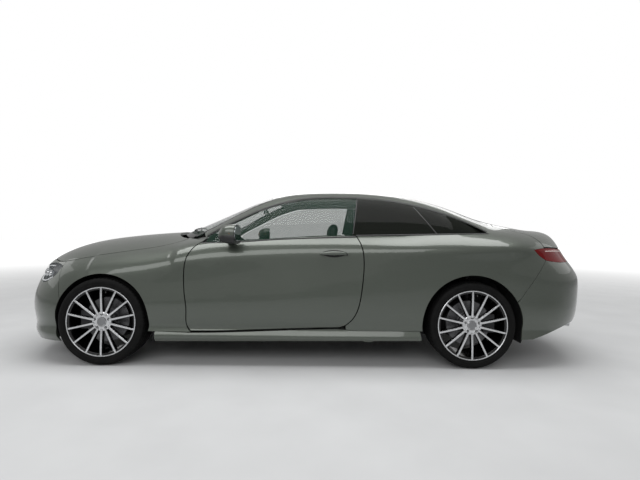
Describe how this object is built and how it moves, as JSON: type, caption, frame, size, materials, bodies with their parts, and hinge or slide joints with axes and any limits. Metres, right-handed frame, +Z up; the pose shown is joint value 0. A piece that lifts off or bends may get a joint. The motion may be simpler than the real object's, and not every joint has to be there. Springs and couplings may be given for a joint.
{
  "type": "coupe car",
  "caption": "Two-door coupe car with hollow cabin, opening doors, bonnet and boot lid, steered front wheels and rolling wheels.",
  "frame": {"origin": "on the ground, midway along and across the car", "axes": "+Z up, -X towards the nose, -Y towards the car's left side"},
  "size_m": [4.8267, 2.096, 1.43],
  "materials": {
    "paint": "gloss metallic grey-green",
    "glass": "lightly tinted",
    "lamp_clear": "clear lens",
    "lamp_red": "red lens",
    "black_plastic": "satin black",
    "trim": "soft grain",
    "structure": "dark primer",
    "suspension": "dull",
    "engine_metal": "cast",
    "exhaust_metal": "brushed",
    "seat_leather": "stitched",
    "tyre": "matt",
    "rim": "machined on black"
  },
  "bodies": {
    "body": {"fenders": "paint", "quarters": "paint", "sills": "paint", "roof_rails": "paint", "roof": "paint", "glass": "glass", "front_bumper": "paint", "rear_bumper": "paint", "headlamps": "lamp_clear", "tail_lamps": "lamp_red", "grille": "black_plastic", "floor": "structure", "bulkhead": "structure", "cowl": "black_plastic", "front_frame": "structure", "wheel_liners": "black_plastic", "boot_tub": "structure", "parcel_shelf": "trim", "cabin_sides": "trim", "roof_frame": "structure", "front_axle": "suspension", "rear_axle": "suspension", "engine": "engine_metal", "fuel_tank": "structure", "exhaust": "exhaust_metal", "dashboard": "trim", "steering_wheel": "black_plastic", "seat_cushions": "seat_leather", "seat_backs": "seat_leather", "rear_bench": "seat_leather", "rear_backrest": "seat_leather"},
    "left_door": {"left_door": "paint", "left_door_glass": "glass", "left_mirror": "black_plastic"},
    "right_door": {"right_door": "paint", "right_door_glass": "glass", "right_mirror": "black_plastic"},
    "bonnet": {"bonnet": "paint"},
    "boot_lid": {"boot_lid": "paint"},
    "left_knuckle": {"left_knuckle": "suspension"},
    "right_knuckle": {"right_knuckle": "suspension"},
    "front_left_wheel": {"front_left_tyre": "tyre", "front_left_rim": "rim"},
    "front_right_wheel": {"front_right_tyre": "tyre", "front_right_rim": "rim"},
    "rear_left_wheel": {"rear_left_tyre": "tyre", "rear_left_rim": "rim"},
    "rear_right_wheel": {"rear_right_tyre": "tyre", "rear_right_rim": "rim"}
  },
  "joints": [
    {"name": "left_door_hinge", "type": "hinge", "parent": "body", "child": "left_door", "pos_m": [-0.9825, -0.885, 0.56], "axis": [0, 0, -1], "range_deg": [0, 62]},
    {"name": "right_door_hinge", "type": "hinge", "parent": "body", "child": "right_door", "pos_m": [-0.9825, 0.885, 0.56], "axis": [0, 0, 1], "range_deg": [0, 62]},
    {"name": "bonnet_hinge", "type": "hinge", "parent": "body", "child": "bonnet", "pos_m": [-1.0145, 0, 0.972], "axis": [0, 1, 0], "range_deg": [0, 50]},
    {"name": "boot_lid_hinge", "type": "hinge", "parent": "body", "child": "boot_lid", "pos_m": [1.6805, 0, 1.058], "axis": [0, -1, 0], "range_deg": [0, 65]},
    {"name": "left_steer", "type": "hinge", "parent": "body", "child": "left_knuckle", "pos_m": [-1.571, -0.72, 0.339], "axis": [0, 0, 1], "range_deg": [-35, 35]},
    {"name": "right_steer", "type": "hinge", "parent": "body", "child": "right_knuckle", "pos_m": [-1.571, 0.72, 0.339], "axis": [0, 0, 1], "range_deg": [-35, 35]},
    {"name": "front_left_wheel_spin", "type": "hinge", "parent": "left_knuckle", "child": "front_left_wheel", "pos_m": [-1.571, -0.8025, 0.339], "axis": [0, 1, 0], "continuous": true},
    {"name": "front_right_wheel_spin", "type": "hinge", "parent": "right_knuckle", "child": "front_right_wheel", "pos_m": [-1.571, 0.8025, 0.339], "axis": [0, 1, 0], "continuous": true},
    {"name": "rear_left_wheel_spin", "type": "hinge", "parent": "body", "child": "rear_left_wheel", "pos_m": [1.302, -0.793, 0.336], "axis": [0, 1, 0], "continuous": true},
    {"name": "rear_right_wheel_spin", "type": "hinge", "parent": "body", "child": "rear_right_wheel", "pos_m": [1.302, 0.793, 0.336], "axis": [0, 1, 0], "continuous": true}
  ],
  "couplings": [
    {"joint": "right_steer", "follows": "left_steer", "ratio": 1}
  ]
}
